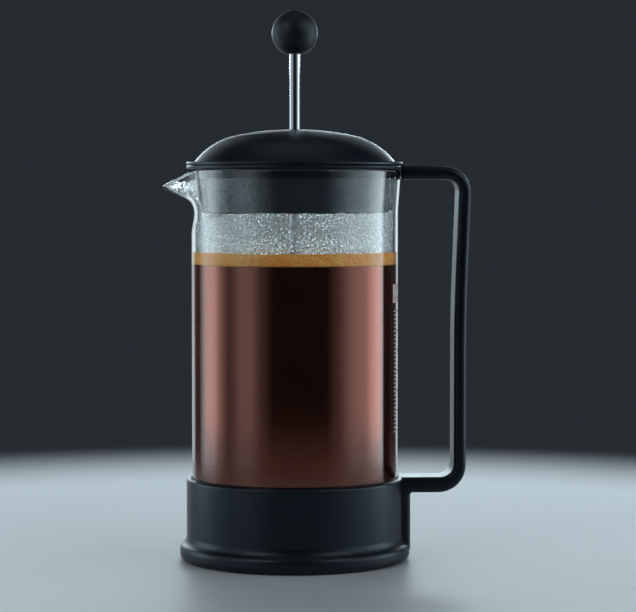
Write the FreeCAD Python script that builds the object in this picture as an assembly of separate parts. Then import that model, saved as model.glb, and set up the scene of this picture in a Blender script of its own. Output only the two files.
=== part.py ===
import FreeCAD, Part
import math
import os

# French press for one litre: a glass beaker in a moulded base with its handle,
# a domed lid, and a plunger whose filter stack slides in the glass.
# Millimetres, +Z up. The origin is on the beaker's axis, on the plane that the foot stands on.
# The handle points to +X and the spout to -X. The plunger is drawn part of the way down.

V = FreeCAD.Vector
ORIGIN = V(0, 0, 0)
UP = V(0, 0, 1)
FRONT_TO_BACK = V(0, 1, 0)

# Fits and gaps
TOUCH_GAP = 0.35            # between parts that sit close without a fit
RUNNING_FIT = 0.05          # radial play of a shaft that turns or slides

# Base cup
CUP_RADIUS = 52.7
CUP_WALL = 2.3
CUP_RIM_Z = 40.1
CUP_LIP_ROUND = 1.5
CUP_INNER_LIP_ROUND = 0.6
CUP_FLOOR_ROUND = 3.0
CUP_FLOOR_Z = 5.4
CUP_UNDERSIDE_Z = 3.0
FOOT_RADIUS = 56.0
FOOT_INNER_RADIUS = 47.0
FOOT_BEAD_Z = 6.6           # height at which the foot bead starts to turn in
FOOT_BEAD_ROUND = 3.2
FOOT_EDGE_ROUND = 0.6
FOOT_HOLLOW_ROUND = 5.0     # concave round from the bead into the cup wall

# Handle strap, moulded in one piece with the cup
STRAP_WIDTH = 20.0
STRAP_EDGE_ROUND = 2.5
RIB_RADIUS = 55.8           # outer face of the strap where it runs down the cup
RIB_END_Z = 5.1             # the strap's lower end, hidden in the foot bead
LOWER_ARM_Z = 32.6
ARM_ROOT_ROUND = 1.2
GRIP_OUTER_X = 82.9
GRIP_INNER_X = 76.9
GRIP_BEND_Z = 121.4         # above this height the grip leans outwards
GRIP_BEND_ROUND = 900.0
GRIP_TOP_OUTER_X = 85.6
GRIP_TOP_INNER_X = 79.3
UPPER_ARM_TOP_Z = 190.6
UPPER_ARM_UNDER_Z = 184.6
OUTER_CORNER_ROUND = 13.3
LOWER_INNER_ROUND = 6.5
UPPER_INNER_ROUND = 5.5

# Clip that hooks over the glass rim
CLIP_HALF_WIDTH = 9.5
CLIP_TOP_Z = 191.85
CLIP_OUTER_RADIUS = 53.2
TONGUE_INNER_RADIUS = 46.6
TONGUE_END_Z = 169.4
TONGUE_END_ROUND = 5.5

# Glass beaker
GLASS_RADIUS = 50.0
GLASS_WALL = 2.0
GLASS_FLOOR = 3.0
GLASS_FOOT_ROUND = 9.0
GLASS_PUNT = 1.0            # height of the hollow under the floor
GLASS_PUNT_RADIUS = 38.0
GLASS_RIM_Z = 189.2
FLARE_START_Z = 169.4
FLARE = 1.4
FLARE_ROUND = 80.0
RIM_ROUND = 0.95

# Pouring spout, pulled from the rim
SPOUT_TIP_X = 64.2
SPOUT_TIP_Z = 181.3
SPOUT_ROOT_X = 43.5
SPOUT_ROOT_Z = 168.9
SPOUT_ROOT_HALF_WIDTH = 17.0
SPOUT_TIP_HALF_WIDTH = 2.3
SPOUT_WALL = 1.5
SPOUT_SECTIONS = 5
LIP_START_X = 46.2          # where the rim begins to dip towards the tip
SPOUT_HEADROOM = 12.0       # height of the trough sections above their bottom line

# Lid: a dome over a liner with a skirt
LID_TOP_Z = 208.8
LID_WALL = 2.0
CROWN_RADIUS = 140.0
CROWN_REACH = 28.0
SHOULDER_RADIUS = 35.1
FLANGE_RADIUS = 52.4
FLANGE_TOP_Z = 193.1
FLANGE_SPLIT_Z = 191.4
FLANGE_UNDER_Z = 189.7
FLANGE_EDGE_ROUND = 0.7
DOME_HOLE_RADIUS = 2.85
SKIRT_RADIUS = 45.7
SKIRT_WALL = 1.6
SKIRT_END_Z = 168.4
GUIDE_RADIUS = 4.6
GUIDE_BOTTOM_Z = 179.4
GUIDE_TOP_Z = 206.4
CLIP_RECESS_TOP_Z = 192.25
STRAINER_SLOTS = 9
STRAINER_SLOT_WIDTH = 1.6
STRAINER_STEP_DEG = 5.0
STRAINER_LOW_Z = 172.4
STRAINER_HIGH_Z = 185.9

# Plunger rod, its stop collar and the knob
ROD_RADIUS = 2.5
ROD_BOTTOM_Z = 51.0
ROD_TOP_Z = 253.2
ROD_CHAMFER = 0.5
COLLAR_RADIUS = 6.5
COLLAR_HEIGHT = 3.0
KNOB_RADIUS = 11.1
KNOB_CENTRE_Z = 255.15
KNOB_FLAT_RADIUS = 4.9
INSERT_RADIUS = 3.5
INSERT_GROOVE = 0.4
INSERT_LENGTH = 9.0

# Filter stack, from the bottom up
STACK_Z = 55.4              # underside of the cross plate
HUB_FLANGE_RADIUS = 7.5
HUB_FLANGE_HEIGHT = 1.4
HUB_BOSS_RADIUS = 5.0
HUB_BOSS_HEIGHT = 3.4
HUB_NECK_RADIUS = 4.0
CROSS_PLATE_RADIUS = 39.0
CROSS_PLATE_THICKNESS = 0.8
CROSS_WINDOW_INNER_RADIUS = 12.0
CROSS_WINDOW_OUTER_RADIUS = 33.0
CROSS_ARM_WIDTH = 8.0
CROSS_ARM_PAIRS = 3
SHEET_GAP = 0.05
MESH_RADIUS = 46.2
MESH_THICKNESS = 0.3
MESH_EDGE_HEIGHT = 3.6
MESH_EDGE_ROUND = 1.2
SPIRAL_PLATE_RADIUS = 42.6
SPIRAL_PLATE_THICKNESS = 0.8
SPIRAL_HOLE_RADIUS = 1.8
SPIRAL_HOLE_PITCH = 7.2     # along each ring of holes, and between the rings
SPIRAL_HOLE_RINGS = (12.0, 19.2, 26.4, 33.6)
SPRING_CENTRE_RADIUS = 44.2
SPRING_COIL_RADIUS = 1.4


def rounded_wire(corners):
    """A closed wire in the XZ plane through corners given as (x, z, round)."""
    points = [V(x, 0, z) for x, z, _ in corners]
    turns = []
    for i, corner in enumerate(points):
        radius = corners[i][2]
        back = (points[i - 1] - corner).normalize()
        ahead = (points[(i + 1) % len(points)] - corner).normalize()
        half_angle = back.getAngle(ahead) / 2
        reach = radius / math.tan(half_angle)
        inward = (back + ahead).normalize() if radius else V(0, 0, 0)
        middle = corner + inward * (radius / math.sin(half_angle) - radius)
        turns.append((corner + back * reach, middle, corner + ahead * reach, radius))
    edges = []
    for i, (start, middle, end, radius) in enumerate(turns):
        if radius:
            edges.append(Part.Arc(start, middle, end).toShape())
        following = turns[(i + 1) % len(turns)][0]
        if end.distanceToPoint(following) > 1e-6:
            edges.append(Part.LineSegment(end, following).toShape())
    return Part.Wire(edges)


def revolved(wire):
    return Part.Face(wire).revolve(ORIGIN, UP, 360)


def turned(corners):
    return revolved(rounded_wire(corners))


def extruded(corners, width):
    """The outline's plate, centred on the XZ plane."""
    plate = Part.Face(rounded_wire(corners)).extrude(FRONT_TO_BACK * width)
    plate.translate(FRONT_TO_BACK * (-width / 2))
    return plate


def box(low, high):
    size = V(*high) - V(*low)
    return Part.makeBox(size.x, size.y, size.z, V(*low))


def ring(inner_radius, outer_radius, low_z, high_z):
    height = high_z - low_z
    outer = Part.makeCylinder(outer_radius, height, V(0, 0, low_z))
    return outer.cut(Part.makeCylinder(inner_radius, height, V(0, 0, low_z)))


def base_cup():
    inner_radius = CUP_RADIUS - CUP_WALL
    return turned([
        (FOOT_INNER_RADIUS, 0, FOOT_EDGE_ROUND),
        (FOOT_RADIUS, 0, FOOT_BEAD_ROUND),
        (FOOT_RADIUS, FOOT_BEAD_Z, FOOT_BEAD_ROUND),
        (CUP_RADIUS, FOOT_BEAD_Z + FOOT_RADIUS - CUP_RADIUS, FOOT_HOLLOW_ROUND),
        (CUP_RADIUS, CUP_RIM_Z, CUP_LIP_ROUND),
        (inner_radius, CUP_RIM_Z, CUP_INNER_LIP_ROUND),
        (inner_radius, CUP_FLOOR_Z, CUP_FLOOR_ROUND),
        (0, CUP_FLOOR_Z, 0),
        (0, CUP_UNDERSIDE_Z, 0),
        (FOOT_INNER_RADIUS, CUP_UNDERSIDE_Z, FOOT_EDGE_ROUND),
    ])


def handle_strap():
    """Rib up the cup, lower arm, grip and upper arm, as one bent strap with soft edges."""
    root_x = CUP_RADIUS - CUP_WALL / 2
    strap = extruded([
        (CLIP_OUTER_RADIUS - 1.0, UPPER_ARM_UNDER_Z, 0),
        (CLIP_OUTER_RADIUS - 1.0, CLIP_TOP_Z, 0),
        (GRIP_TOP_OUTER_X, UPPER_ARM_TOP_Z, OUTER_CORNER_ROUND),
        (GRIP_OUTER_X, GRIP_BEND_Z, GRIP_BEND_ROUND),
        (GRIP_OUTER_X, LOWER_ARM_Z, OUTER_CORNER_ROUND),
        (RIB_RADIUS, LOWER_ARM_Z, ARM_ROOT_ROUND),
        (RIB_RADIUS, RIB_END_Z, 0),
        (root_x, RIB_END_Z, 0),
        (root_x, CUP_RIM_Z, 0),
        (GRIP_INNER_X, CUP_RIM_Z, LOWER_INNER_ROUND),
        (GRIP_INNER_X, GRIP_BEND_Z, GRIP_BEND_ROUND),
        (GRIP_TOP_INNER_X, UPPER_ARM_UNDER_Z, UPPER_INNER_ROUND),
    ], STRAP_WIDTH)
    long_edges = []
    for edge in strap.Edges:
        bounds = edge.BoundBox
        on_a_side = bounds.YLength < 1e-6
        end_edge = bounds.XMax < CLIP_OUTER_RADIUS or bounds.ZMax < FOOT_BEAD_Z
        if on_a_side and not end_edge:
            long_edges.append(edge)
    return strap.makeFillet(STRAP_EDGE_ROUND, long_edges)


def rim_clip():
    """Hook over the rim: an outer pad, a bridge, and a tongue down the inside of the glass."""
    outer_pad_x = GLASS_RADIUS + FLARE + TOUCH_GAP
    tongue_x = GLASS_RADIUS - GLASS_WALL - TOUCH_GAP
    bridge_z = GLASS_RIM_Z + TOUCH_GAP
    hook = turned([
        (outer_pad_x, UPPER_ARM_UNDER_Z, 0),
        (CLIP_OUTER_RADIUS, UPPER_ARM_UNDER_Z, 0),
        (CLIP_OUTER_RADIUS, CLIP_TOP_Z, 0),
        (TONGUE_INNER_RADIUS, CLIP_TOP_Z, 1.0),
        (TONGUE_INNER_RADIUS, TONGUE_END_Z, 0.5),
        (tongue_x, TONGUE_END_Z, 0.4),
        (tongue_x + FLARE, bridge_z, 0.3),
        (outer_pad_x, bridge_z, 0.3),
    ])
    window = box((0, -CLIP_HALF_WIDTH, TONGUE_END_Z), (GRIP_OUTER_X, CLIP_HALF_WIDTH, CLIP_TOP_Z))
    end_edges = [
        edge for edge in window.Edges
        if edge.BoundBox.XLength > 1 and edge.BoundBox.ZMax < TONGUE_END_Z + 1
    ]
    return hook.common(window.makeFillet(TONGUE_END_ROUND, end_edges))


def base_handle_frame():
    return base_cup().fuse([handle_strap(), rim_clip()]).removeSplitter()


def spout_trough(inset):
    """The spout as a tapering trough, its sections arcs closed by a straight top."""
    sections = []
    for i in range(SPOUT_SECTIONS):
        along = i / (SPOUT_SECTIONS - 1)
        x = SPOUT_ROOT_X + (SPOUT_TIP_X - inset - SPOUT_ROOT_X) * along
        bottom_z = SPOUT_ROOT_Z + (SPOUT_TIP_Z - SPOUT_ROOT_Z) * along ** 0.8 + inset
        narrowing = (1 - along) ** 1.35
        half_width = SPOUT_TIP_HALF_WIDTH + narrowing * (SPOUT_ROOT_HALF_WIDTH - SPOUT_TIP_HALF_WIDTH)
        half_width -= inset * half_width / (half_width + inset)
        top_z = bottom_z + SPOUT_HEADROOM
        left = V(-x, -half_width, top_z)
        right = V(-x, half_width, top_z)
        arc = Part.Arc(left, V(-x, 0, bottom_z), right).toShape()
        sections.append(Part.Wire([arc, Part.LineSegment(right, left).toShape()]))
    return Part.makeLoft(sections, True)


def glass_beaker():
    inner_radius = GLASS_RADIUS - GLASS_WALL
    floor_top_z = CUP_FLOOR_Z + GLASS_FLOOR
    vessel = turned([
        (0, CUP_FLOOR_Z + GLASS_PUNT, 0),
        (GLASS_PUNT_RADIUS, CUP_FLOOR_Z, 20.0),
        (GLASS_RADIUS, CUP_FLOOR_Z, GLASS_FOOT_ROUND),
        (GLASS_RADIUS, FLARE_START_Z, FLARE_ROUND),
        (GLASS_RADIUS + FLARE, GLASS_RIM_Z, RIM_ROUND),
        (inner_radius + FLARE, GLASS_RIM_Z, RIM_ROUND),
        (inner_radius, FLARE_START_Z, FLARE_ROUND),
        (inner_radius, floor_top_z, GLASS_FOOT_ROUND - GLASS_WALL),
        (0, floor_top_z, 0),
    ])
    bore = Part.makeCylinder(inner_radius + FLARE / 2, GLASS_RIM_Z, V(0, 0, floor_top_z))
    above_lip = extruded([
        (-LIP_START_X, GLASS_RIM_Z, 0),
        (-SPOUT_TIP_X, SPOUT_TIP_Z + SPOUT_WALL / 2, 0),
        (-SPOUT_TIP_X - 5, SPOUT_TIP_Z + SPOUT_WALL / 2, 0),
        (-SPOUT_TIP_X - 5, LID_TOP_Z, 0),
        (-LIP_START_X, LID_TOP_Z, 0),
    ], 2 * GLASS_RADIUS)
    beaker = vessel.fuse(spout_trough(0).cut(bore))
    return beaker.cut([spout_trough(SPOUT_WALL), above_lip])


def dome_profile(inset, flange_z):
    """Crown arc and tangent shoulder arc, moved in by inset, from the rod hole down to flange_z."""
    crown_centre = V(0, 0, LID_TOP_Z - CROWN_RADIUS)
    turn = math.asin(CROWN_REACH / CROWN_RADIUS)
    spacing = CROWN_RADIUS - SHOULDER_RADIUS
    shoulder_centre = crown_centre + V(math.sin(turn), 0, math.cos(turn)) * spacing

    def on_arc(centre, radius, angle):
        return centre + V(math.sin(angle), 0, math.cos(angle)) * (radius - inset)

    hole_angle = math.asin(DOME_HOLE_RADIUS / (CROWN_RADIUS - inset))
    flange_angle = math.acos((flange_z - shoulder_centre.z) / (SHOULDER_RADIUS - inset))
    crown = [on_arc(crown_centre, CROWN_RADIUS, angle) for angle in (hole_angle, turn / 2, turn)]
    middle_angle = (turn + flange_angle) / 2
    shoulder = [
        on_arc(shoulder_centre, SHOULDER_RADIUS, angle) for angle in (turn, middle_angle, flange_angle)
    ]
    return crown, shoulder


def clip_recess():
    """Room for the handle's clip under the lid's flange."""
    half_width = CLIP_HALF_WIDTH + 2 * TOUCH_GAP
    low = (0, -half_width, GUIDE_BOTTOM_Z)
    high = (CLIP_OUTER_RADIUS + 1.0, half_width, CLIP_RECESS_TOP_Z)
    inner_radius = TONGUE_INNER_RADIUS - 2 * TOUCH_GAP
    return box(low, high).cut(Part.makeCylinder(inner_radius, LID_TOP_Z))


def lid_dome():
    outer_crown, outer_shoulder = dome_profile(0, FLANGE_TOP_Z)
    inner_crown, inner_shoulder = dome_profile(LID_WALL, FLANGE_SPLIT_Z)
    round_centre_x = FLANGE_RADIUS - FLANGE_EDGE_ROUND
    diagonal = FLANGE_EDGE_ROUND * math.sqrt(0.5)
    flange_top = V(round_centre_x, 0, FLANGE_TOP_Z)
    upper_turn = V(round_centre_x + diagonal, 0, FLANGE_TOP_Z - FLANGE_EDGE_ROUND + diagonal)
    upper_side = V(FLANGE_RADIUS, 0, FLANGE_TOP_Z - FLANGE_EDGE_ROUND)
    lower_side = V(FLANGE_RADIUS, 0, FLANGE_SPLIT_Z + FLANGE_EDGE_ROUND)
    lower_turn = V(round_centre_x + diagonal, 0, FLANGE_SPLIT_Z + FLANGE_EDGE_ROUND - diagonal)
    flange_under = V(round_centre_x, 0, FLANGE_SPLIT_Z)
    shell = revolved(Part.Wire([
        Part.Arc(*outer_crown).toShape(),
        Part.Arc(*outer_shoulder).toShape(),
        Part.LineSegment(outer_shoulder[2], flange_top).toShape(),
        Part.Arc(flange_top, upper_turn, upper_side).toShape(),
        Part.LineSegment(upper_side, lower_side).toShape(),
        Part.Arc(lower_side, lower_turn, flange_under).toShape(),
        Part.LineSegment(flange_under, inner_shoulder[2]).toShape(),
        Part.Arc(*reversed(inner_shoulder)).toShape(),
        Part.Arc(*reversed(inner_crown)).toShape(),
        Part.LineSegment(inner_crown[0], outer_crown[0]).toShape(),
    ]))
    return shell.cut(clip_recess())


def lid_liner():
    """Flange ring, skirt inside the glass, closing deck and the sleeve that guides the rod."""
    guide_bore = ROD_RADIUS + RUNNING_FIT
    skirt_inner = SKIRT_RADIUS - SKIRT_WALL
    liner = turned([
        (guide_bore, GUIDE_BOTTOM_Z, 0),
        (GUIDE_RADIUS, GUIDE_BOTTOM_Z, 0.8),
        (GUIDE_RADIUS, FLANGE_UNDER_Z, 1.0),
        (skirt_inner, FLANGE_UNDER_Z, 1.5),
        (skirt_inner, SKIRT_END_Z, 0.6),
        (SKIRT_RADIUS, SKIRT_END_Z, 0.6),
        (SKIRT_RADIUS, FLANGE_UNDER_Z, 0.5),
        (FLANGE_RADIUS, FLANGE_UNDER_Z, FLANGE_EDGE_ROUND),
        (FLANGE_RADIUS, FLANGE_SPLIT_Z, FLANGE_EDGE_ROUND),
        (GUIDE_RADIUS, FLANGE_SPLIT_Z, 1.0),
        (GUIDE_RADIUS, GUIDE_TOP_Z, 0.5),
        (guide_bore, GUIDE_TOP_Z, 0),
    ])
    cuts = [clip_recess()]
    for i in range(STRAINER_SLOTS):
        slot = box(
            (-SKIRT_RADIUS - 1, -STRAINER_SLOT_WIDTH / 2, STRAINER_LOW_Z),
            (-skirt_inner + 1, STRAINER_SLOT_WIDTH / 2, STRAINER_HIGH_Z),
        )
        slot.rotate(ORIGIN, UP, (i - (STRAINER_SLOTS - 1) / 2) * STRAINER_STEP_DEG)
        cuts.append(slot)
    return liner.cut(cuts)


def plunger_rod():
    return turned([
        (0, ROD_BOTTOM_Z, 0),
        (ROD_RADIUS - ROD_CHAMFER, ROD_BOTTOM_Z, 0),
        (ROD_RADIUS, ROD_BOTTOM_Z + ROD_CHAMFER, 0),
        (ROD_RADIUS, ROD_TOP_Z - ROD_CHAMFER, 0),
        (ROD_RADIUS - ROD_CHAMFER, ROD_TOP_Z, 0),
        (0, ROD_TOP_Z, 0),
    ])


def stack_top_z():
    """Upper face of the spiral plate."""
    sheets = CROSS_PLATE_THICKNESS + MESH_THICKNESS + SPIRAL_PLATE_THICKNESS
    return STACK_Z + sheets + 2 * SHEET_GAP


def stop_collar():
    low_z = stack_top_z() + TOUCH_GAP
    return turned([
        (ROD_RADIUS, low_z, 0),
        (COLLAR_RADIUS, low_z, 0.4),
        (COLLAR_RADIUS, low_z + COLLAR_HEIGHT, 1.2),
        (ROD_RADIUS, low_z + COLLAR_HEIGHT, 0),
    ])


def knob_flat_z():
    return KNOB_CENTRE_Z - math.sqrt(KNOB_RADIUS ** 2 - KNOB_FLAT_RADIUS ** 2)


def ball_knob():
    """Ball with a small flat where the rod enters, and a blind hole for the insert."""
    flat_z = knob_flat_z()
    hole_end_z = flat_z + INSERT_LENGTH
    crown = V(0, 0, KNOB_CENTRE_Z + KNOB_RADIUS)
    equator = V(KNOB_RADIUS, 0, KNOB_CENTRE_Z)
    flat_edge = V(KNOB_FLAT_RADIUS, 0, flat_z)
    hole_mouth = V(INSERT_RADIUS, 0, flat_z)
    hole_corner = V(INSERT_RADIUS, 0, hole_end_z)
    hole_centre = V(0, 0, hole_end_z)
    return revolved(Part.Wire([
        Part.Arc(crown, equator, flat_edge).toShape(),
        Part.LineSegment(flat_edge, hole_mouth).toShape(),
        Part.LineSegment(hole_mouth, hole_corner).toShape(),
        Part.LineSegment(hole_corner, hole_centre).toShape(),
        Part.LineSegment(hole_centre, crown).toShape(),
    ]))


def knob_insert():
    """Threaded bush, with a retaining groove round its middle."""
    low_z = knob_flat_z()
    high_z = low_z + INSERT_LENGTH
    bush = ring(ROD_RADIUS + RUNNING_FIT, INSERT_RADIUS, low_z, high_z)
    groove_low = low_z + INSERT_LENGTH / 3
    groove_high = low_z + INSERT_LENGTH * 2 / 3
    return bush.cut(ring(INSERT_RADIUS - INSERT_GROOVE, INSERT_RADIUS + 1, groove_low, groove_high))


def filter_hub():
    """Threaded hub: a boss and flange below the cross plate and a neck through the stack."""
    bore = ROD_RADIUS + RUNNING_FIT
    flange_z = STACK_Z - HUB_FLANGE_HEIGHT
    return turned([
        (bore, flange_z - HUB_BOSS_HEIGHT, 0),
        (HUB_BOSS_RADIUS, flange_z - HUB_BOSS_HEIGHT, 1.0),
        (HUB_BOSS_RADIUS, flange_z, 0.6),
        (HUB_FLANGE_RADIUS, flange_z, 0.5),
        (HUB_FLANGE_RADIUS, STACK_Z, 0.3),
        (HUB_NECK_RADIUS, STACK_Z, 0),
        (HUB_NECK_RADIUS, stack_top_z(), 0.3),
        (bore, stack_top_z(), 0),
    ])


def cross_plate():
    """Disc with six windows, which leave three pairs of arms and a rim."""
    high_z = STACK_Z + CROSS_PLATE_THICKNESS
    disc = ring(HUB_NECK_RADIUS + SHEET_GAP, CROSS_PLATE_RADIUS, STACK_Z, high_z)
    windows = ring(CROSS_WINDOW_INNER_RADIUS, CROSS_WINDOW_OUTER_RADIUS, STACK_Z, high_z)
    arms = []
    for i in range(CROSS_ARM_PAIRS):
        arm = box(
            (-CROSS_PLATE_RADIUS, -CROSS_ARM_WIDTH / 2, STACK_Z),
            (CROSS_PLATE_RADIUS, CROSS_ARM_WIDTH / 2, high_z),
        )
        arm.rotate(ORIGIN, UP, i * 180 / CROSS_ARM_PAIRS)
        arms.append(arm)
    return disc.cut(windows.cut(arms))


def mesh_filter():
    """Fine mesh disc, modelled as a sheet, with its edge turned up round the spring."""
    low_z = STACK_Z + CROSS_PLATE_THICKNESS + SHEET_GAP
    high_z = low_z + MESH_THICKNESS
    return turned([
        (HUB_NECK_RADIUS + SHEET_GAP, low_z, 0),
        (MESH_RADIUS, low_z, MESH_EDGE_ROUND),
        (MESH_RADIUS, low_z + MESH_EDGE_HEIGHT, 0),
        (MESH_RADIUS - MESH_THICKNESS, low_z + MESH_EDGE_HEIGHT, 0),
        (MESH_RADIUS - MESH_THICKNESS, high_z, MESH_EDGE_ROUND - MESH_THICKNESS),
        (HUB_NECK_RADIUS + SHEET_GAP, high_z, 0),
    ])


def spiral_plate():
    """Perforated disc that carries the spring round its edge."""
    high_z = stack_top_z()
    low_z = high_z - SPIRAL_PLATE_THICKNESS
    plate = ring(HUB_NECK_RADIUS + SHEET_GAP, SPIRAL_PLATE_RADIUS, low_z, high_z)
    holes = []
    for ring_radius in SPIRAL_HOLE_RINGS:
        count = int(2 * math.pi * ring_radius / SPIRAL_HOLE_PITCH)
        for i in range(count):
            angle = 2 * math.pi * i / count
            centre = V(ring_radius * math.cos(angle), ring_radius * math.sin(angle), low_z)
            holes.append(Part.makeCylinder(SPIRAL_HOLE_RADIUS, SPIRAL_PLATE_THICKNESS, centre))
    return plate.cut(holes)


def spiral_spring():
    """Envelope of the wire coil that runs round the spiral plate."""
    mesh_top_z = STACK_Z + CROSS_PLATE_THICKNESS + SHEET_GAP + MESH_THICKNESS
    centre = V(0, 0, mesh_top_z + SPRING_COIL_RADIUS + SHEET_GAP)
    return Part.makeTorus(SPRING_CENTRE_RADIUS, SPRING_COIL_RADIUS, centre, UP)


def main():
    os.makedirs("parts", exist_ok=True)
    makers = (
        base_handle_frame,
        glass_beaker,
        lid_dome,
        lid_liner,
        plunger_rod,
        stop_collar,
        ball_knob,
        knob_insert,
        filter_hub,
        cross_plate,
        mesh_filter,
        spiral_plate,
        spiral_spring,
    )
    for make in makers:
        shape = make()
        name = make.__name__
        closed = shape.isValid() and len(shape.Solids) == 1
        print(f"{name}: valid single solid {closed}, {shape.Volume / 1000:.2f} cm3")
        shape.exportStep(f"parts/{name}.step")


main()
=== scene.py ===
import math
import random

import bpy
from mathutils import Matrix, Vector, noise


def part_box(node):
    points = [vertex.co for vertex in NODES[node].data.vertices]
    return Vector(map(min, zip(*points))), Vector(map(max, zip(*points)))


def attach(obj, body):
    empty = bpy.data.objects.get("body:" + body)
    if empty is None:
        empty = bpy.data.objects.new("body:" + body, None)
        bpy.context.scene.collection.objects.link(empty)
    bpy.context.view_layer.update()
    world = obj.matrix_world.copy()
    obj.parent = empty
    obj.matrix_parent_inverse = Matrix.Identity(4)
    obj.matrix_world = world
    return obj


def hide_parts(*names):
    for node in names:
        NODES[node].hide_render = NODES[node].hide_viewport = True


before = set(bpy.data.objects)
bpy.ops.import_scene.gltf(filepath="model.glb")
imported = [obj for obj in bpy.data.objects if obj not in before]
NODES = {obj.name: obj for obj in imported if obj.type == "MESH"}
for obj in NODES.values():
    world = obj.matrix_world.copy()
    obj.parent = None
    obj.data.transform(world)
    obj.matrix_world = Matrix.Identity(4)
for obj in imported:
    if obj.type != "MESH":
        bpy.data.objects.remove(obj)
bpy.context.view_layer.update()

# A french press with coffee in it, on a pale floor. Metres, in the CAD model's frame:
# the beaker's axis is Z, the handle is at +X and the spout at -X. MM turns millimetres into metres.

MM = 0.001

# Sizes shared by several pieces, worked out from the CAD boxes
BEAKER_LOW, BEAKER_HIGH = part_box("glass_beaker")
GLASS_RADIUS = 50.0 * MM
GLASS_WALL = 2.0 * MM
GLASS_FLOOR = 3.0 * MM
GLASS_FOOT_Z = BEAKER_LOW.z
GLASS_RIM_Z = BEAKER_HIGH.z
BORE_RADIUS = GLASS_RADIUS - GLASS_WALL
FLARE_START_Z = GLASS_RIM_Z - 19.8 * MM
FLARE = BEAKER_HIGH.y - GLASS_RADIUS
SPOUT_TIP_X = -BEAKER_LOW.x
COFFEE_TOP_Z = GLASS_RIM_Z - 45.1 * MM
CREMA_TOP_Z = GLASS_RIM_Z - 40.0 * MM
SKIRT_END_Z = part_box("lid_liner")[0].z


# ---------------------------------------------------------------- meshes

def add_mesh(name, points, faces, material, smooth=True):
    mesh = bpy.data.meshes.new(name)
    mesh.from_pydata([tuple(p) for p in points], [], faces)
    mesh.update()
    mesh.materials.append(material)
    for polygon in mesh.polygons:
        polygon.use_smooth = smooth
    if smooth:
        mesh.set_sharp_from_angle(angle=math.radians(40))
    piece = bpy.data.objects.new(name, mesh)
    bpy.context.scene.collection.objects.link(piece)
    return piece


def arc_corner(before, corner, after, radius, steps):
    """Points of the arc that rounds a corner of an outline."""
    back = (before - corner).normalized()
    ahead = (after - corner).normalized()
    half_angle = back.angle(ahead) / 2
    reach = radius / math.tan(half_angle)
    centre = corner + (back + ahead).normalized() * (radius / math.sin(half_angle))
    start = corner + back * reach - centre
    end = corner + ahead * reach - centre
    sweep = start.angle(end)
    points = []
    for i in range(steps + 1):
        share = i / steps
        weight_a = math.sin((1 - share) * sweep) / math.sin(sweep)
        weight_b = math.sin(share * sweep) / math.sin(sweep)
        points.append(centre + start * weight_a + end * weight_b)
    return points


def rounded_outline(corners, steps=8):
    """Points of an open outline through (r, z, round) corners, in metres."""
    places = [Vector((r, z)) for r, z, _ in corners]
    points = []
    for i, place in enumerate(places):
        radius = corners[i][2]
        if radius and 0 < i < len(places) - 1:
            points += arc_corner(places[i - 1], place, places[i + 1], radius, steps)
        else:
            points.append(place)
    return points


def ring_faces(rings, closed=True):
    """Faces between neighbouring rings of point numbers."""
    faces = []
    count = len(rings[0])
    for lower, upper in zip(rings, rings[1:]):
        for i in range(count if closed else count - 1):
            j = (i + 1) % count
            corners = [lower[i], lower[j], upper[j], upper[i]]
            face = [c for k, c in enumerate(corners) if c != corners[k - 1]]
            if len(face) > 2:
                faces.append(face)
    return faces


def turned(name, outline, material, segments=128):
    """Body of revolution about Z from an open outline; ends on the axis close with one point."""
    points, rings = [], []
    for place in outline:
        if place.x < 1e-7:
            points.append((0, 0, place.y))
            rings.append([len(points) - 1] * segments)
            continue
        first = len(points)
        for i in range(segments):
            angle = 2 * math.pi * i / segments
            points.append((place.x * math.cos(angle), place.x * math.sin(angle), place.y))
        rings.append(list(range(first, first + segments)))
    return add_mesh(name, points, ring_faces(rings), material)


def smoothstep(low, high, value):
    share = min(1.0, max(0.0, (value - low) / (high - low)))
    return share * share * (3 - 2 * share)


# ---------------------------------------------------------------- node graphs

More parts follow.
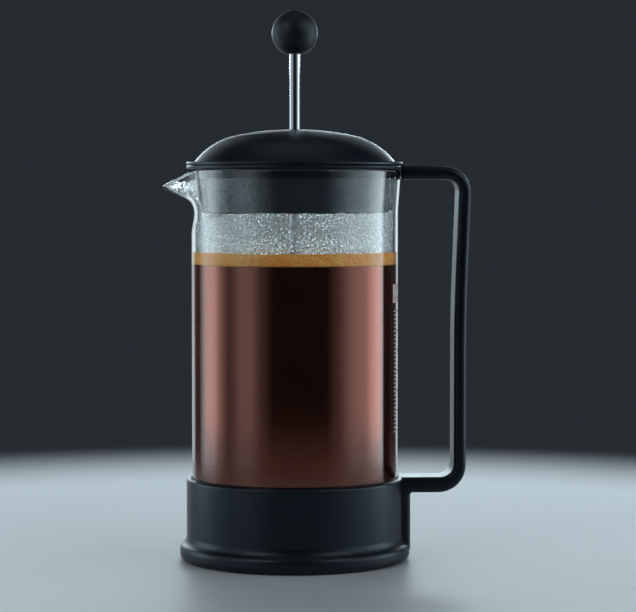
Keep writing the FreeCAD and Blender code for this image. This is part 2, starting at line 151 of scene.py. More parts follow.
class Graph:
    """A node tree, with short calls for the nodes that this scene uses."""

    def __init__(self, tree, output):
        self.tree = tree
        self.tree.nodes.clear()
        self.output = self.add(output)

    def add(self, kind, inputs=None, **settings):
        node = self.tree.nodes.new(kind)
        for key, value in settings.items():
            setattr(node, key, value)
        for key, value in (inputs or {}).items():
            self.feed(node.inputs[key], value)
        return node

    def feed(self, socket, value):
        if isinstance(value, bpy.types.NodeSocket):
            self.tree.links.new(value, socket)
        else:
            socket.default_value = value

    def surface(self, shader):
        self.tree.links.new(shader, self.output.inputs["Surface"])

    def principled(self, inputs):
        return self.add("ShaderNodeBsdfPrincipled", inputs).outputs[0]

    def place(self):
        return self.add("ShaderNodeTexCoord").outputs["Object"]

    def noise(self, scale, detail=3.0, roughness=0.5, vector=None):
        place = vector or self.place()
        inputs = {"Scale": scale, "Detail": detail, "Roughness": roughness, "Vector": place}
        return self.add("ShaderNodeTexNoise", inputs).outputs["Fac"]

    def cells(self, scale, place):
        """Distance from the nearest of many scattered points."""
        return self.add("ShaderNodeTexVoronoi", {"Scale": scale, "Vector": place}).outputs["Distance"]

    def stretched(self, scale):
        """Object coordinates with a scale of their own along each axis."""
        return self.add("ShaderNodeMapping", {"Vector": self.place(), "Scale": scale}).outputs["Vector"]

    def remap(self, value, from_low, from_high, to_low, to_high, kind="LINEAR"):
        inputs = {
            "Value": value,
            "From Min": from_low,
            "From Max": from_high,
            "To Min": to_low,
            "To Max": to_high,
        }
        return self.add("ShaderNodeMapRange", inputs, interpolation_type=kind).outputs["Result"]

    def ramp(self, value, stops):
        node = self.add("ShaderNodeValToRGB", {"Fac": value})
        elements = node.color_ramp.elements
        elements[0].position, elements[1].position = stops[0][0], stops[-1][0]
        elements[0].color, elements[1].color = (*stops[0][1], 1.0), (*stops[-1][1], 1.0)
        for position, colour in stops[1:-1]:
            elements.new(position).color = (*colour, 1.0)
        return node.outputs["Color"]

    def bump(self, height, strength, distance):
        inputs = {"Height": height, "Strength": strength, "Distance": distance}
        return self.add("ShaderNodeBump", inputs).outputs["Normal"]

    def maths(self, operation, first, second=0.0):
        node = self.add("ShaderNodeMath", operation=operation)
        self.feed(node.inputs[0], first)
        self.feed(node.inputs[1], second)
        return node.outputs[0]


def new_material(name):
    material = bpy.data.materials.new(name)
    material.use_nodes = True
    return material, Graph(material.node_tree, "ShaderNodeOutputMaterial")


# ---------------------------------------------------------------- materials

def satin_plastic(name, colour_low, colour_high, rough_low, rough_high):
    """Moulded black plastic: a faint spark-eroded grain, uneven gloss, and flow shading in the colour."""
    material, nodes = new_material(name)
    cloud = nodes.noise(38.0, 4.0, 0.6)
    grain = nodes.noise(2600.0, 2.0, 0.5)
    wide = nodes.noise(14.0, 2.0, 0.5)
    height = nodes.maths("ADD", nodes.maths("MULTIPLY", wide, 0.35), grain)
    nodes.surface(nodes.principled({
        "Base Color": nodes.ramp(cloud, [(0.3, colour_low), (0.75, colour_high)]),
        "Roughness": nodes.remap(cloud, 0.3, 0.7, rough_low, rough_high),
        "Specular IOR Level": 0.55,
        "Specular Tint": (0.74, 0.90, 1.0, 1.0),
        "Normal": nodes.bump(height, 0.12, 0.00004),
    }))
    return material


def lets_lamps_through(nodes, shader):
    """Sends the shader out so that lamps also light what lies behind the glass or water."""
    lamp_ray = nodes.add("ShaderNodeLightPath").outputs["Is Shadow Ray"]
    clear = nodes.add("ShaderNodeBsdfTransparent", {"Color": (0.93, 0.95, 0.95, 1.0)}).outputs[0]
    nodes.surface(nodes.add("ShaderNodeMixShader", {0: lamp_ray, 1: shader, 2: clear}).outputs[0])


def clear_glass():
    """Borosilicate, faintly uneven as blown glass is."""
    material, nodes = new_material("beaker_glass")
    lets_lamps_through(nodes, nodes.principled({
        "Base Color": nodes.ramp(nodes.noise(9.0), [(0.3, (0.975, 0.995, 0.99)), (0.7, (1.0, 1.0, 1.0))]),
        "Roughness": 0.0,
        "IOR": 1.47,
        "Transmission Weight": 1.0,
        "Normal": nodes.bump(nodes.noise(30.0, 2.0), 0.04, 0.0001),
    }))
    return material


def coffee_liquid():
    """Black coffee seen through glass: near black, with a warm brown gloss."""
    material, nodes = new_material("coffee")
    cloud = nodes.noise(30.0, 3.0, 0.6)
    nodes.surface(nodes.principled({
        "Base Color": nodes.ramp(cloud, [
            (0.3, (0.007, 0.0020, 0.0010)),
            (0.75, (0.011, 0.0032, 0.0016)),
        ]),
        "Roughness": nodes.remap(cloud, 0.3, 0.7, 0.09, 0.12),
        "IOR": 2.8,
        "Specular IOR Level": 0.5,
        "Specular Tint": (1.0, 0.28, 0.18, 1.0),
    }))
    return material


def crema_foam():
    """Tan foam of fine bubbles, darker and redder in patches, with shade painted into each bubble's pit.
    """
    material, nodes = new_material("crema")
    place = nodes.place()
    bubbles = nodes.cells(900.0, place)
    large = nodes.cells(260.0, place)
    patches = nodes.noise(48.0, 5.0, 0.65, place)
    froth = nodes.maths("ADD", bubbles, large)
    # Painted shade: the bubbles also darken and redden the colour towards each bubble's middle, where the
    # bump sinks it; the patches are the foam's own tone.
    foam_tone_and_pit_shade = nodes.maths("ADD", nodes.maths("MULTIPLY", froth, 0.28), patches)
    nodes.surface(nodes.principled({
        "Base Color": nodes.ramp(foam_tone_and_pit_shade, [
            (0.38, (0.92, 0.27, 0.022)),
            (0.62, (0.98, 0.37, 0.050)),
            (0.9, (1.0, 0.53, 0.14)),
        ]),
        "Roughness": nodes.remap(bubbles, 0.0, 0.6, 0.35, 0.6),
        "Subsurface Weight": 0.15,
        "Subsurface Radius": (0.004, 0.002, 0.001),
        "Subsurface Scale": 0.5,
        "Normal": nodes.bump(froth, 0.5, 0.0006),
    }))
    return material


def condensed_mist(name, thin, thick, middle, sides):
    """Fog of fine droplets.

    Its cover goes from thin to thick in patches, times a factor that goes from middle to sides along X;
    that factor is a painted sheen, thicker whiter fog where the side lights fall.
    """
    material, nodes = new_material(name)
    place = nodes.place()
    patches = nodes.noise(34.0, 3.0, 0.55, place)
    specks = nodes.cells(760.0, place)
    cloud = nodes.remap(patches, 0.3, 0.65, thin, thick)
    cover = nodes.maths("MULTIPLY", cloud, nodes.remap(specks, 0.1, 0.7, 1.15, 0.5))
    # Painted sheen: the fog is made denser towards the left and right along X, where the side lights
    # fall, and thinner in the middle.
    across = nodes.add("ShaderNodeSeparateXYZ", {0: place}).outputs["X"]
    painted_side_sheen = nodes.remap(nodes.maths("ABSOLUTE", across), 0.012, 0.044, middle, sides)
    cover = nodes.maths("MINIMUM", nodes.maths("MULTIPLY", cover, painted_side_sheen), 0.97)
    nodes.surface(nodes.principled({
        "Base Color": nodes.ramp(patches, [(0.3, (0.80, 0.90, 0.96)), (0.7, (0.93, 0.98, 1.0))]),
        "Roughness": nodes.remap(specks, 0.0, 0.6, 0.35, 0.6),
        "Alpha": cover,
        "Normal": nodes.bump(specks, 1.0, 0.0008),
    }))
    return material


def water():
    """Clear water, for the drops."""
    material, nodes = new_material("droplets")
    lets_lamps_through(nodes, nodes.principled({
        "Base Color": nodes.ramp(nodes.noise(60.0), [(0.3, (0.93, 0.97, 1.0)), (0.7, (1.0, 1.0, 1.0))]),
        "Roughness": 0.03,
        "IOR": 1.33,
        "Transmission Weight": 1.0,
        "Normal": nodes.bump(nodes.noise(1500.0), 0.1, 0.0001),
    }))
    return material


def enamel_print():
    """Fired enamel on the glass, pale pink and a little worn."""
    material, nodes = new_material("enamel_print")
    wear = nodes.noise(420.0, 3.0, 0.6)
    nodes.surface(nodes.principled({
        "Base Color": nodes.ramp(wear, [(0.3, (0.78, 0.54, 0.50)), (0.65, (0.96, 0.69, 0.64))]),
        "Roughness": nodes.remap(wear, 0.3, 0.7, 0.35, 0.5),
        "Normal": nodes.bump(wear, 0.2, 0.00003),
    }))
    return material


def steel(name, rough_low, rough_high, stretch, tint=(0.66, 0.69, 0.74)):
    """Stainless steel with fine drawn or turned lines; stretch says which way they run."""
    material, nodes = new_material(name)
    lines = nodes.noise(1.0, 3.0, 0.6, nodes.stretched(stretch))
    darker = tuple(c * 0.82 for c in tint)
    nodes.surface(nodes.principled({
        "Base Color": nodes.ramp(lines, [(0.3, darker), (0.7, tint)]),
        "Metallic": 1.0,
        "Roughness": nodes.remap(lines, 0.3, 0.7, rough_low, rough_high),
        "Normal": nodes.bump(lines, 0.12, 0.00002),
    }))
    return material


def woven_mesh():
    """Fine stainless gauze: two sets of wires at right angles, with the gaps between them painted dark as
    shade seen through the openings.
    """
    material, nodes = new_material("mesh_steel")
    place = nodes.place()
    wires = []
    for direction in ("X", "Y"):
        inputs = {"Scale": 520.0, "Vector": place}
        wires.append(nodes.add("ShaderNodeTexWave", inputs, bands_direction=direction).outputs["Fac"])
    wires_and_gap_shade = nodes.maths("MAXIMUM", wires[0], wires[1])
    wear = nodes.noise(60.0, 3.0, 0.5, place)
    nodes.surface(nodes.principled({
        # Painted shade: between the wires the colour drops to near black, for the shade seen through the
        # openings.
        "Base Color": nodes.ramp(wires_and_gap_shade, [(0.2, (0.07, 0.075, 0.085)), (0.8, (0.62, 0.65, 0.70))]),
        "Metallic": 1.0,
        "Roughness": nodes.remap(wear, 0.3, 0.7, 0.26, 0.4),
        "Normal": nodes.bump(wires_and_gap_shade, 0.8, 0.0001),
    }))
    return material


FLOOR_RADIUS = 0.53
FLOOR_FADE_START = 0.30     # from here to the end of the fade the floor melts into the backdrop
FLOOR_FADE_END = 0.52


def floor_surface():
    """Pale satin table, whose edge melts into the backdrop."""
    material, nodes = new_material("floor")
    speckle = nodes.noise(700.0, 2.0, 0.5)
    surface = nodes.principled({
        "Base Color": nodes.ramp(speckle, [(0.3, (0.62, 0.66, 0.70)), (0.7, (0.68, 0.72, 0.76))]),
        "Roughness": nodes.remap(speckle, 0.3, 0.7, 0.42, 0.52),
        "Specular IOR Level": 0.2,
        "Normal": nodes.bump(speckle, 0.1, 0.0002),
    })
    distance = nodes.add("ShaderNodeVectorMath", {0: nodes.place()}, operation="LENGTH").outputs["Value"]
    fade = nodes.remap(distance, FLOOR_FADE_START, FLOOR_FADE_END, 0.0, 1.0, "SMOOTHSTEP")
    see_through = nodes.add("ShaderNodeBsdfTransparent").outputs[0]
    nodes.surface(nodes.add("ShaderNodeMixShader", {0: fade, 1: surface, 2: see_through}).outputs[0])
    return material


def dress(node_name, material):
    """Gives a CAD node its material in every slot."""
    piece = NODES[node_name]
    if not piece.material_slots:
        piece.data.materials.append(material)
    for slot in piece.material_slots:
        slot.material = material


# ---------------------------------------------------------------- stage, camera and light

EYE_HEIGHT = 182.2 * MM
EYE_DISTANCE = 1165 * MM
LENS = 135.8
PITCH = math.radians(2.9)
TURN = math.radians(3.0)            # the camera stands a little to the spout's side
AXIS_OFFSET = math.atan(11.3 * MM / EYE_DISTANCE)


def camera():
    """A long lens, a little below the glass's rim and tilted down slightly."""
    data = bpy.data.cameras.new("camera")
    data.lens = LENS
    data.sensor_width = 36.0
    data.clip_start = 0.05
    data.clip_end = 30.0
    eye = bpy.data.objects.new("camera", data)
    eye.location = (-EYE_DISTANCE * math.sin(TURN), -EYE_DISTANCE * math.cos(TURN), EYE_HEIGHT)
    eye.rotation_euler = (math.pi / 2 - PITCH, 0, -TURN - AXIS_OFFSET)
    bpy.context.scene.collection.objects.link(eye)
    bpy.context.scene.camera = eye


def softbox(name, azimuth, elevation, distance, width, height, power, colour):
    """An area light that faces the press; azimuth 0 is at -Y and 90 at +X."""
    data = bpy.data.lights.new(name, "AREA")
    data.shape = "RECTANGLE"
    data.size = width
    data.size_y = height
    data.energy = power
    data.color = colour
    lamp = bpy.data.objects.new(name, data)
    a, e = math.radians(azimuth), math.radians(elevation)
    towards = Vector((math.sin(a) * math.cos(e), -math.cos(a) * math.cos(e), math.sin(e)))
    lamp.location = Vector((0, 0, 0.12)) + towards * distance
    lamp.rotation_euler = towards.to_track_quat("Z", "Y").to_euler()
    lamp.visible_camera = False
    bpy.context.scene.collection.objects.link(lamp)


COOL = (0.78, 0.93, 1.0)
WHITE = (0.92, 0.97, 1.0)
BACKDROP = (0.020, 0.025, 0.031, 1.0)
STUDIO_PEAK = 5.0
# Brightness round the press, as (degrees from the camera's side, share of the peak): a narrow soft
# light on the spout's side, a dim broad one in front of it, a wide one on the handle's side, and two
# thin ones behind.
STUDIO_RING = [
    (-180, 0.006), (-177, 0.006), (-173, 0.14), (-156, 0.22), (-151, 0.01), (-136, 0.01),
    (-125, 0.30), (-119, 0.42), (-106, 0.40), (-96, 0.15), (-84, 0.035), (-76, 0.06),
    (-66, 0.12), (-54, 0.12), (-42, 0.04), (-28, 0.004), (34, 0.004), (50, 0.05),
    (66, 0.17), (84, 0.22), (96, 0.45), (112, 0.66), (114.5, 0.01), (152, 0.01),
    (156, 0.22), (173, 0.14), (177, 0.006), (180, 0.006),
]


def studio():
    """Soft tall lights painted on the surroundings; the camera itself sees a plain backdrop."""
    world = bpy.data.worlds.new("studio")
    bpy.context.scene.world = world
    world.use_nodes = True
    nodes = Graph(world.node_tree, "ShaderNodeOutputWorld")
    direction = nodes.add("ShaderNodeTexCoord").outputs["Generated"]
    axes = nodes.add("ShaderNodeSeparateXYZ", {0: direction})
    angle = nodes.maths("ARCTAN2", axes.outputs["X"], nodes.maths("MULTIPLY", axes.outputs["Y"], -1.0))
    turn = nodes.remap(angle, -math.pi, math.pi, 0.0, 1.0)
    ring = nodes.ramp(turn, [((degrees + 180) / 360, (share,) * 3) for degrees, share in STUDIO_RING])
    bottom = nodes.remap(axes.outputs["Z"], -0.6, -0.4, 0.0, 1.0, "SMOOTHSTEP")
    top = nodes.remap(axes.outputs["Z"], 0.35, 0.6, 1.0, 0.0, "SMOOTHSTEP")
    strength = nodes.maths("MULTIPLY", nodes.maths("MULTIPLY", bottom, top), STUDIO_PEAK)
    lit = nodes.add("ShaderNodeVectorMath", {0: ring, "Scale": strength}, operation="SCALE")
    tinted = nodes.add("ShaderNodeVectorMath", {0: lit.outputs[0], 1: COOL}, operation="MULTIPLY")
    glow = nodes.add("ShaderNodeBackground", {"Color": tinted.outputs[0], "Strength": 1.0}).outputs[0]
    plain = nodes.add("ShaderNodeBackground", {"Color": BACKDROP, "Strength": 1.0}).outputs[0]
    seen = nodes.add("ShaderNodeLightPath").outputs["Is Camera Ray"]
    nodes.surface(nodes.add("ShaderNodeMixShader", {0: seen, 1: glow, 2: plain}).outputs[0])


def stage():
    """The floor, and the lamps that add to the studio's ring of light."""
    rings = [Vector((radius, 0)) for radius in (0, FLOOR_FADE_START, FLOOR_RADIUS)]
    floor = turned("floor", rings, floor_surface(), 96)
    softbox("front_left", -50, 38, 1.3, 0.7, 0.5, 1.8, WHITE)
    softbox("front_right", 50, 38, 1.3, 0.7, 0.5, 1.8, WHITE)
    softbox("overhead", 180, 84, 1.3, 1.0, 1.0, 0.9, WHITE)
    softbox("rim", 180, 11, 1.4, 1.6, 0.16, 8.0, COOL)
    bpy.context.scene.view_settings.view_transform = "Standard"


# ---------------------------------------------------------------- glass beaker

SPOUT_REACH_DEG = 23.0
SPOUT_POWER = 1.7
SPOUT_NOSE = 0.06           # softens the point of the spout, as a share of its reach
SPOUT_START_Z = GLASS_RIM_Z - 40 * MM       # below this height the wall is round all the way
PUNT_RADIUS = 38 * MM
FOOT_ROUND = 8 * MM
WALL_ROUND = 80 * MM        # where the wall turns into the flare
SEGMENTS = 288
BEAD_STEPS = 8


def base_path():
    """Middle of the glass wall away from the spout: floor centre, corner, wall, flared rim."""
    wall_mid = GLASS_RADIUS - GLASS_WALL / 2
    floor_mid = GLASS_FOOT_Z + GLASS_FLOOR / 2
    corners = [
        (0, floor_mid + 0.6 * MM, 0),
        (PUNT_RADIUS, floor_mid, 60 * MM),
        (wall_mid, floor_mid, FOOT_ROUND),
        (wall_mid, FLARE_START_Z, WALL_ROUND),
        (wall_mid + FLARE, GLASS_RIM_Z - GLASS_WALL / 2, 0),
    ]
    return rounded_outline(corners, 14)


def spout_path():
    """Middle of the wall along the spout, from below its throat to the tip."""
    wall_mid = GLASS_RADIUS - GLASS_WALL / 2
    tip = SPOUT_TIP_X - 1.6 * MM
    corners = [
        (wall_mid, SPOUT_START_Z, 0),
        (wall_mid, GLASS_RIM_Z - 29 * MM, 25 * MM),
        (wall_mid - 2.2 * MM, GLASS_RIM_Z - 19 * MM, 9 * MM),
        (wall_mid + 1.6 * MM, GLASS_RIM_Z - 13.6 * MM, 7 * MM),
        (tip, GLASS_RIM_Z - 8.2 * MM, 0),
    ]
    return rounded_outline(corners, 10)


def resample(path, count):
    """The path again, as count + 1 points at even spacing."""
    lengths = [0.0]
    for a, b in zip(path, path[1:]):
        lengths.append(lengths[-1] + (b - a).length)
    points, k = [], 0
    for i in range(count + 1):
        target = lengths[-1] * i / count
        while k < len(path) - 2 and lengths[k + 1] < target:
            k += 1
        share = (target - lengths[k]) / (lengths[k + 1] - lengths[k])
        points.append(path[k].lerp(path[k + 1], min(1.0, share)))
    return points


def wall_grid():
    """Rows of points along the middle of the glass, closest near the spout, with their normals."""
    whole = base_path()
    split = Vector((GLASS_RADIUS - GLASS_WALL / 2, SPOUT_START_Z))
    lower = resample([p for p in whole if p.y < split.y] + [split], 60)
    upper = resample([split] + [p for p in whole if p.y > split.y], 56)
    spout = resample(spout_path(), 56)
    turns = [2 * math.pi * i / SEGMENTS for i in range(SEGMENTS)]
    angles = [turn + 0.62 * math.sin(turn) for turn in turns]
    middle = []
    for place, target in [(p, p) for p in lower] + list(zip(upper, spout))[1:]:
        row = []
        for angle in angles:
            away = min(1.0, abs(math.degrees(angle - math.pi)) / SPOUT_REACH_DEG)
            eased = math.sqrt(away * away + SPOUT_NOSE ** 2) - SPOUT_NOSE
            weight = (1 - eased) ** SPOUT_POWER * min(1.0, (1 - away) / 0.15)
            spot = place.lerp(target, weight)
            row.append(Vector((spot.x * math.cos(angle), spot.x * math.sin(angle), spot.y)))
        middle.append(row)
    last = len(middle) - 1
    normals = []
    for k in range(last + 1):
        row = []
        for i in range(SEGMENTS):
            along = middle[min(k + 1, last)][i] - middle[max(k - 1, 0)][i]
            around = middle[max(k, 1)][(i + 1) % SEGMENTS] - middle[max(k, 1)][i - 1]
            row.append(around.cross(along).normalized())
        normals.append(row)
    return middle, normals


def glass_beaker(material):
    """The beaker, and its inner surface as rows of (point, normal into the beaker)."""
    middle, normals = wall_grid()
    last = len(middle) - 1

    def half_wall(k):
        """Half the glass thickness: the floor is thicker, and the fire-polished rim swells a little."""
        share = min(1.0, (middle[k][0].z - GLASS_FOOT_Z) / (12 * MM))
        swell = max(0.0, 1 - (last - k) / 5)
        return (GLASS_FLOOR * (1 - share) + GLASS_WALL * share) / 2 * (1 + 0.12 * swell)

    def offset(side):
        rows = []
        for k in range(last + 1):
            reach = side * half_wall(k)
            rows.append([spot + normal * reach for spot, normal in zip(middle[k], normals[k])])
        return rows

    outer, inner = offset(1), offset(-1)
    bead = []
    for step in range(1, BEAD_STEPS):
        angle = math.pi * step / BEAD_STEPS
        row = []
        for i in range(SEGMENTS):
            along = (middle[-1][i] - middle[-2][i]).normalized()
            towards = normals[-1][i] * math.cos(angle) + along * math.sin(angle)
            row.append(middle[-1][i] + towards * half_wall(last))
        bead.append(row)
    grid = outer + bead + inner[::-1]
    points = [point for row in grid for point in row]
    rings = [list(range(k * SEGMENTS, (k + 1) * SEGMENTS)) for k in range(len(grid))]
    piece = add_mesh("beaker", points, ring_faces(rings), material)
    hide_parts("glass_beaker")
    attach(piece, "stand")
    return [list(zip(inner[k], normals[k])) for k in range(last + 1)]


# ---------------------------------------------------------------- what the beaker holds

WETTING = 0.15 * MM         # how far the liquid reaches into the glass, so that no air film shows
CLIP_CLEAR_DEG = 16         # the haze starts this far from the handle's line
SPOUT_CLEAR_DEG = 150       # and ends here, before the spout
MIST_DEPTH = 0.55 * MM      # of the fog inside the glass, behind the drops
FILM_ROWS = 16
DROP_PITCH = 1.45 * MM
DROP_LEAST = 0.16 * MM
DROP_GAP = 0.02 * MM        # between a drop's flat back and the glass


def coffee(material):
    """The coffee, as a solid that fills the beaker up to the foam."""
    radius = BORE_RADIUS + WETTING
    floor_z = GLASS_FOOT_Z + GLASS_FLOOR - WETTING
    outline = rounded_outline([
        (0, floor_z, 0),
        (radius, floor_z, 7 * MM),
        (radius, COFFEE_TOP_Z, 0),
        (0, COFFEE_TOP_Z, 0),
    ], 12)
    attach(turned("coffee", outline, material, 160), "stand")


def crema(material):
    """Foam on the coffee, which climbs the glass a little."""
    radius = BORE_RADIUS + WETTING
    outline = rounded_outline([
        (0, COFFEE_TOP_Z - 0.5 * MM, 0),
        (radius, COFFEE_TOP_Z - 0.5 * MM, 0),
        (radius, CREMA_TOP_Z + 0.5 * MM, 0),
        (radius - 1.5 * MM, CREMA_TOP_Z, 1.0 * MM),
        (0, CREMA_TOP_Z - 0.4 * MM, 0),
    ], 6)
    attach(turned("crema", outline, material, 160), "stand")


def spout_side(angle):
    """1 on the spout's line, falling to 0 some 60 degrees away from it."""
    return smoothstep(60, 12, abs(math.degrees(angle) - 180))


def mist_top(angle):
    """The fog ends under the lid's skirt, and lower where the spout lets air in."""
    ragged = noise.noise(Vector((math.cos(angle), math.sin(angle), 0)) * 9.0) * 0.5 * MM
    return SKIRT_END_Z + 0.3 * MM - 4.6 * MM * spout_side(angle) + ragged


def on_wall(inner, column, height):
    """Point and outward normal on the inside of the glass, at a height in one column of its grid."""
    k = len(inner) - 2
    while k > 0 and inner[k][column][0].z > height:
        k -= 1
    (low_spot, low_out), (high_spot, high_out) = inner[k][column], inner[k + 1][column]
    share = min(1.0, (height - low_spot.z) / (high_spot.z - low_spot.z))
    return low_spot.lerp(high_spot, share), low_out.lerp(high_out, share).normalized()


def film(name, inner, columns, low, high, depth, material):
    """A sheet at a small depth inside the glass, from the height low up to high(angle)."""
    points, rings = [], []
    for k in range(FILM_ROWS + 1):
        for column in columns:
            spot, _ = inner[-1][column]
            top = high(math.atan2(spot.y, spot.x) % (2 * math.pi))
            spot, outward = on_wall(inner, column, low + (top - low) * k / FILM_ROWS)
            points.append(spot - outward * depth)
        rings.append(list(range(k * len(columns), (k + 1) * len(columns))))
    closed = len(columns) == len(inner[-1])
    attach(add_mesh(name, points, ring_faces(rings, closed), material), "stand")


def mist(inner, material):
    """Fog on the glass all the way round, above the foam."""
    film("mist", inner, range(len(inner[-1])), CREMA_TOP_Z, mist_top, MIST_DEPTH, material)


def haze(inner, material):
    """A thin fog between the lid's skirt and the glass, away from the handle's clip and the spout; its
    material makes it far denser at the sides along X than in the middle, so it shows mostly as a painted
    sheen there.
    """
    low = SKIRT_END_Z + 0.6 * MM

    def high(angle):
        return GLASS_RIM_Z - 4 * MM

    def is_fogged(spot):
        return CLIP_CLEAR_DEG < abs(math.degrees(math.atan2(spot.y, spot.x))) < SPOUT_CLEAR_DEG

    columns = [i for i, (spot, _) in enumerate(inner[-1]) if is_fogged(spot)]
    for name, side in (("haze_back", 1), ("haze_front", -1)):
        half = [i for i in columns if inner[-1][i][0].y * side > 0]
        film(name, inner, half, low, high, 0.4 * MM, material)


def droplet(points, faces, place, inward, radius, drawn):
    """A flat-backed cap of water on the glass, drawn out downwards by a share of its size."""
    up = (Vector((0, 0, 1)) - inward * inward.z).normalized()
    side = up.cross(inward)
    corners, levels = 6, ((1.0, 0.0), (0.72, 0.28))
    first = len(points)
    for spread, lift in levels:
        for i in range(corners):
            angle = 2 * math.pi * i / corners
            down = math.sin(angle) * (1 + (drawn if math.sin(angle) < 0 else 0))
            spot = side * math.cos(angle) + up * down
            points.append(place + spot * (radius * spread) + inward * (radius * lift))
    points.append(place + inward * (radius * 0.42))
    ring_a = list(range(first, first + corners))
    ring_b = list(range(first + corners, first + 2 * corners))
    faces.extend(ring_faces([ring_a, ring_b]))
    faces.extend([ring_b[i], ring_b[(i + 1) % corners], len(points) - 1] for i in range(corners))
    faces.append(ring_a[::-1])


def droplets(material, inner):
    """Condensed drops on the inside of the glass: thick above the crema, thinner up by the spout."""
    dice = random.Random(7)
    points, faces = [], []
    columns = int(2 * math.pi * BORE_RADIUS / DROP_PITCH)
    z = CREMA_TOP_Z + 0.7 * MM
    while z < SKIRT_END_Z + 1.0 * MM:
        for i in range(columns):
            angle = 2 * math.pi * (i + dice.uniform(-0.4, 0.4)) / columns
            height = z + dice.uniform(-0.4, 0.4) * DROP_PITCH
            if height > mist_top(angle):
                continue
            outward = Vector((math.cos(angle), math.sin(angle), 0))
            low_down = 1 - (height - CREMA_TOP_Z) / (SKIRT_END_Z - CREMA_TOP_Z)
            patch = noise.noise(outward * 5.0 + Vector((0, 0, height * 90)))
            radius = (0.38 + 0.16 * patch + 0.14 * low_down ** 3 + dice.uniform(-0.12, 0.16)) * MM
            spot = outward * (BORE_RADIUS - DROP_GAP) + Vector((0, 0, height))
            droplet(points, faces, spot, -outward, max(DROP_LEAST, radius), dice.uniform(0.0, 0.5))
        z += DROP_PITCH
    for row in inner:
        for spot, outward in row:
            if spot.z < SKIRT_END_Z - 4 * MM or spot.z > GLASS_RIM_Z - 5 * MM:
                continue
            angle = math.atan2(spot.y, spot.x) % (2 * math.pi)
            if dice.random() > 0.34 * spout_side(angle):
                continue
            radius = dice.uniform(0.18, 0.42) * MM
            droplet(points, faces, spot - outward * DROP_GAP, -outward, radius, dice.uniform(0.2, 1.2))
    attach(add_mesh("droplets", points, faces, material), "stand")


# ---------------------------------------------------------------- spring round the filter

WIRE_RADIUS = 0.34 * MM
COIL_TURNS = 168


def spring_coil(material):
    """Closed coil of wire round the edge of the spiral plate, in the CAD ring's room."""
    low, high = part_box("spiral_spring")
    coil_radius = (high.z - low.z) / 2 - WIRE_RADIUS
    ring_radius = high.x - (high.z - low.z) / 2
    middle_z = (low.z + high.z) / 2
    steps, corners = COIL_TURNS * 10, 6

    def centre(i):
        turn = 2 * math.pi * i / steps
        twist = turn * COIL_TURNS
        reach = ring_radius + coil_radius * math.cos(twist)
        height = middle_z + coil_radius * math.sin(twist)
        return Vector((reach * math.cos(turn), reach * math.sin(turn), height))

    points, rings = [], []
    for i in range(steps):
        spot = centre(i)
        along = (centre(i + 1) - centre(i - 1)).normalized()
        turn = 2 * math.pi * i / steps
        core = Vector((ring_radius * math.cos(turn), ring_radius * math.sin(turn), middle_z))
        outward = (spot - core).normalized()
        side = along.cross(outward).normalized()
        rings.append(list(range(len(points), len(points) + corners)))
        for k in range(corners):
            angle = 2 * math.pi * k / corners
            points.append(spot + (outward * math.cos(angle) + side * math.sin(angle)) * WIRE_RADIUS)
    piece = add_mesh("spring_coil", points, ring_faces(rings + [rings[0]]), material)
    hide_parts("spiral_spring")
    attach(piece, "filter_stack")


# ---------------------------------------------------------------- print on the glass

def print_patch(points, faces, turn_a, turn_b, z_a, z_b):
    """A thin curved slab on the outside of the glass, between two angles in degrees from the handle."""
    steps = max(1, round(abs(turn_b - turn_a) / 2.5))
    first = len(points)
    for i in range(steps + 1):
        angle = math.radians(turn_a + (turn_b - turn_a) * i / steps)
        for radius, z in ((50.02, z_a), (50.07, z_a), (50.07, z_b), (50.02, z_b)):
            points.append((radius * MM * math.cos(angle), radius * MM * math.sin(angle), z * MM))
    for i in range(steps):
        a, b = first + 4 * i, first + 4 * i + 4
        for k in range(4):
            j = (k + 1) % 4
            faces.append([a + k, b + k, b + j, a + j])
    faces.append([first, first + 1, first + 2, first + 3])
    end = first + 4 * steps
    faces.append([end + 3, end + 2, end + 1, end])


PRINT_HALF_DEG = 23.0
BLOCK_LOW, BLOCK_HIGH = 125.4, 134.4        # the solid block over the scale, mm
SCALE_LOW, SCALE_HIGH = 63.4, 121.4


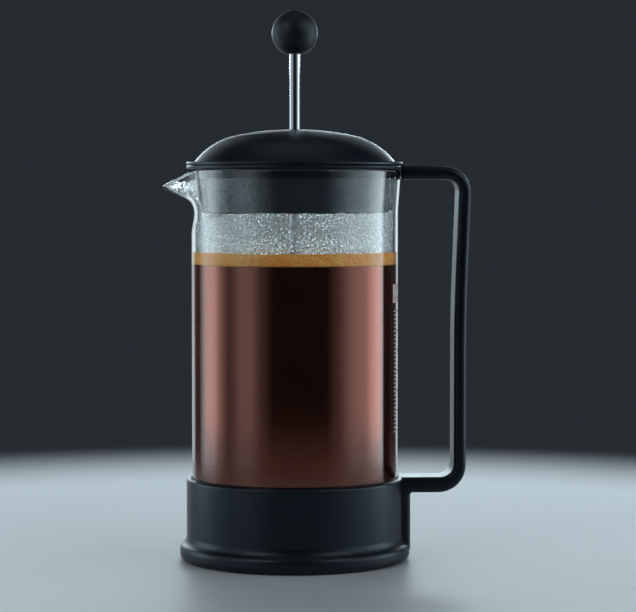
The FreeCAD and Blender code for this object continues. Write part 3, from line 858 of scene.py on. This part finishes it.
def printing(material):
    """A plain block with a window in it, and under it a filling scale of long and short marks."""
    points, faces = [], []
    window = (BLOCK_LOW + 3.2, BLOCK_HIGH - 3.2)
    print_patch(points, faces, -PRINT_HALF_DEG, PRINT_HALF_DEG, BLOCK_LOW, window[0])
    print_patch(points, faces, -PRINT_HALF_DEG, PRINT_HALF_DEG, window[1], BLOCK_HIGH)
    print_patch(points, faces, -PRINT_HALF_DEG, -14, *window)
    print_patch(points, faces, 14, PRINT_HALF_DEG, *window)
    marks = 30
    for i in range(marks + 1):
        z = SCALE_LOW + (SCALE_HIGH - SCALE_LOW) * i / marks
        reach = 12.0 if i % 5 == 0 else 5.5
        half = 0.42 if i % 5 == 0 else 0.28
        print_patch(points, faces, -20.5, -20.5 + reach, z - half, z + half)
        print_patch(points, faces, 20.5 - reach, 20.5, z - half, z + half)
    piece = add_mesh("glass_print", points, faces, material, smooth=False)
    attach(piece, "stand")


# ---------------------------------------------------------------- build

studio()
stage()
camera()

BLUE_BLACK = ((0.0020, 0.0036, 0.0100), (0.0036, 0.0060, 0.0140))
frame_plastic = satin_plastic("frame_plastic", *BLUE_BLACK, 0.34, 0.42)
lid_plastic = satin_plastic("lid_plastic", *BLUE_BLACK, 0.36, 0.44)
knob_plastic = satin_plastic("knob_plastic", (0.004, 0.0045, 0.006), (0.007, 0.0075, 0.010), 0.46, 0.56)
rod_steel = steel("rod_steel", 0.10, 0.18, (900.0, 900.0, 12.0))
filter_steel = steel("filter_steel", 0.18, 0.32, (240.0, 240.0, 240.0))
insert_brass = steel("insert_brass", 0.2, 0.35, (60.0, 60.0, 3000.0), (0.72, 0.52, 0.22))

dress("base_handle_frame", frame_plastic)
dress("lid_dome", lid_plastic)
dress("lid_liner", lid_plastic)
dress("ball_knob", knob_plastic)
dress("knob_insert", insert_brass)
dress("plunger_rod", rod_steel)
dress("stop_collar", rod_steel)
for name in ("filter_hub", "cross_plate", "spiral_plate", "spiral_spring"):
    dress(name, filter_steel)
dress("mesh_filter", woven_mesh())
spring_coil(filter_steel)

inner_wall = glass_beaker(clear_glass())
coffee(coffee_liquid())
crema(crema_foam())
# The mist's cover runs from 0.8 in the middle to 1.5 at the sides along X, a painted sheen at the sides.
mist(inner_wall, condensed_mist("mist", 0.35, 0.85, 0.8, 1.5))
# The haze's cover runs from 0.4 in the middle to 6 at the sides along X, so it shows almost only at the
# sides, as a painted sheen.
haze(inner_wall, condensed_mist("haze", 0.012, 0.07, 0.4, 6.0))
droplets(water(), inner_wall)
printing(enamel_print())
